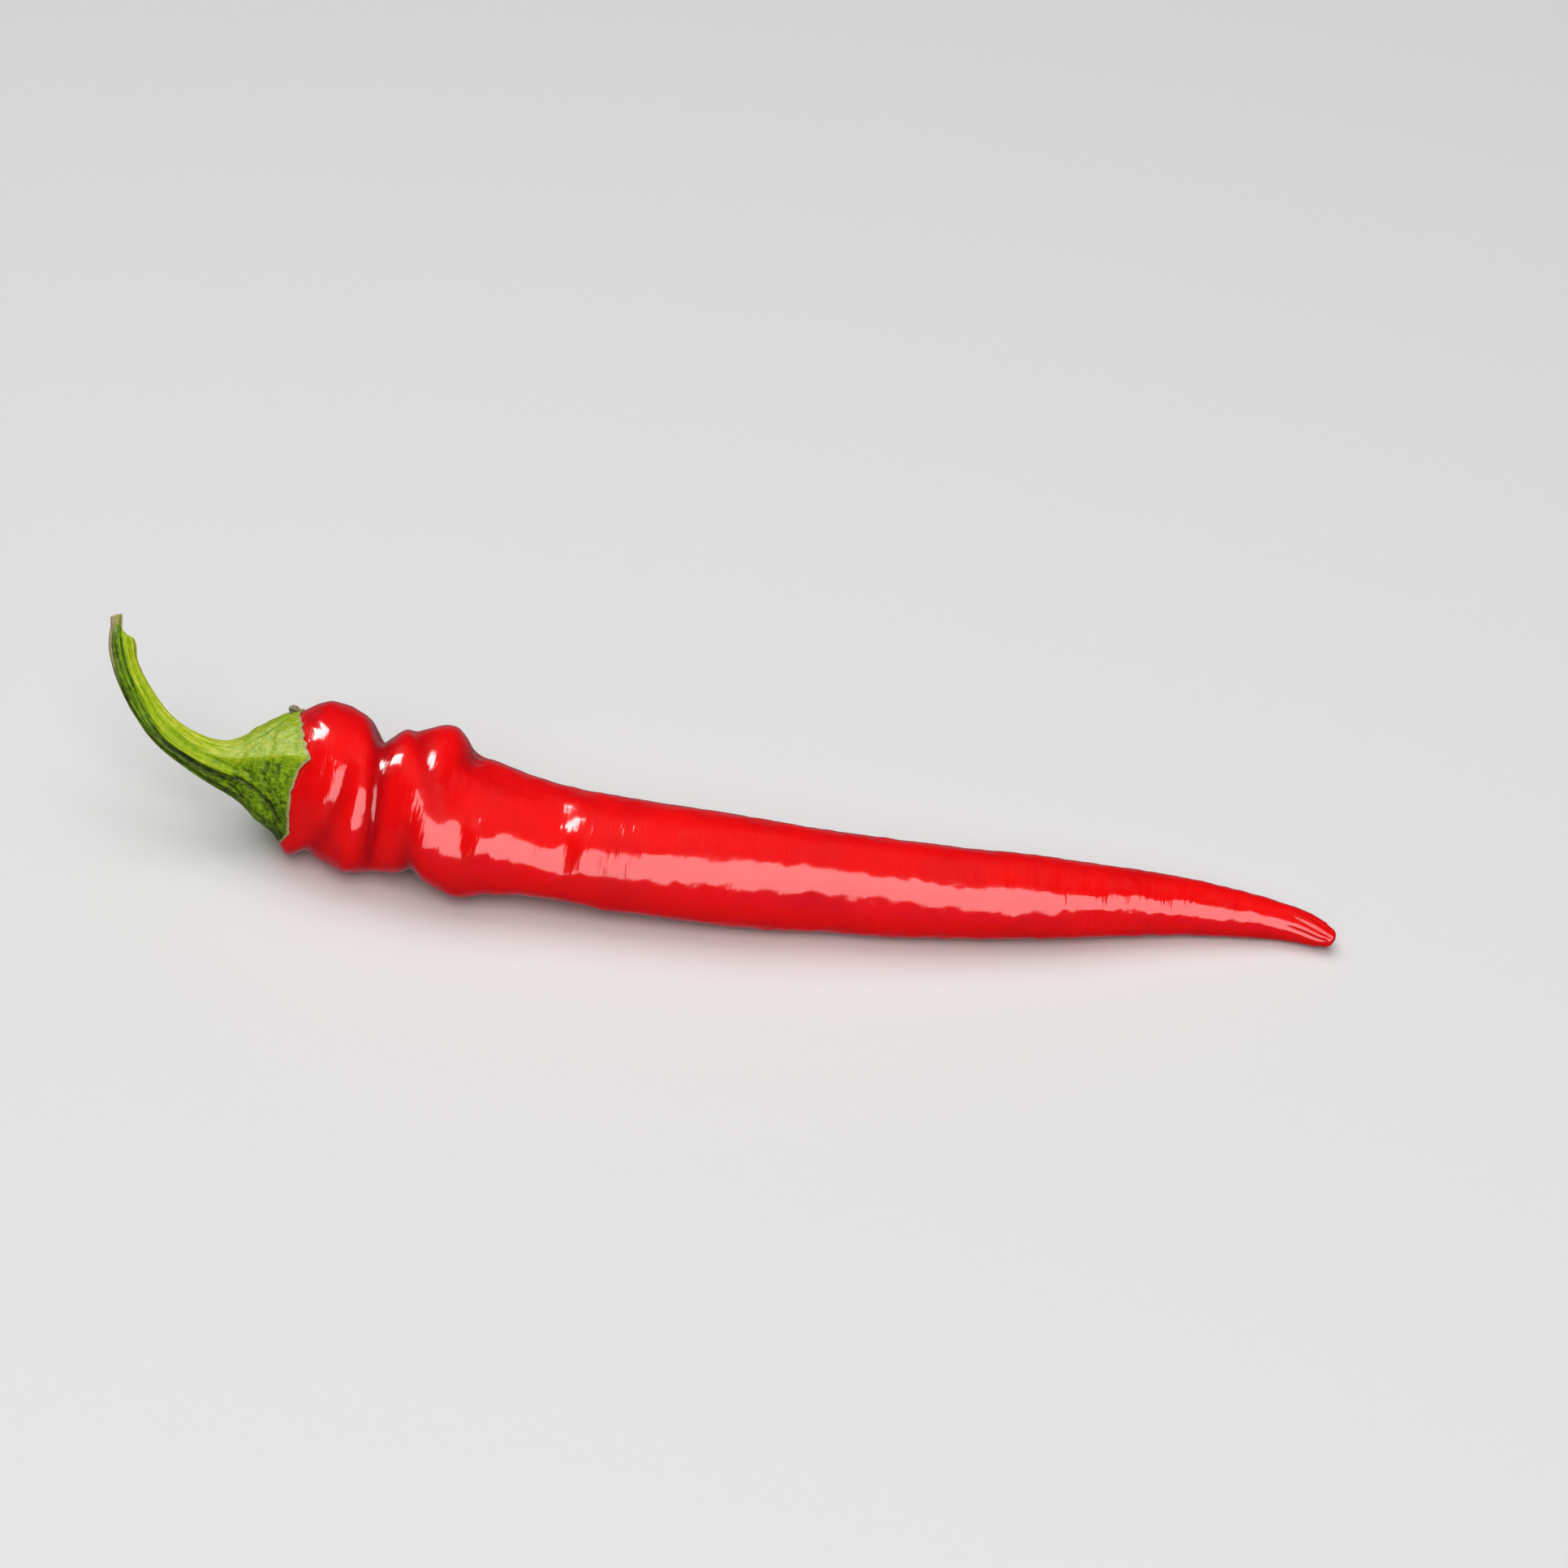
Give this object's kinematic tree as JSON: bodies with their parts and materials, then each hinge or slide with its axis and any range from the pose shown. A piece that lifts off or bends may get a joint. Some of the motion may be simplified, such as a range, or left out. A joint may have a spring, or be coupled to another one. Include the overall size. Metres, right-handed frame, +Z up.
{
  "type": "chilli pepper",
  "caption": "Long ripe red chilli pepper lying on its side, tapering to a blunt tip, with a hooked green stalk and a toothed calyx.",
  "frame": {"origin": "bottom centre of the bounding box, on the surface the pepper lies on", "axes": "+X along the fruit towards its tip, +Z up from the surface"},
  "size_m": [0.1684, 0.0254, 0.0262],
  "materials": {
    "pod_skin": "glossy waxy fruit skin",
    "stalk_green": "satin ribbed plant stalk"
  },
  "bodies": {
    "root": {"pod": "pod_skin", "stalk": "stalk_green"}
  },
  "joints": []
}
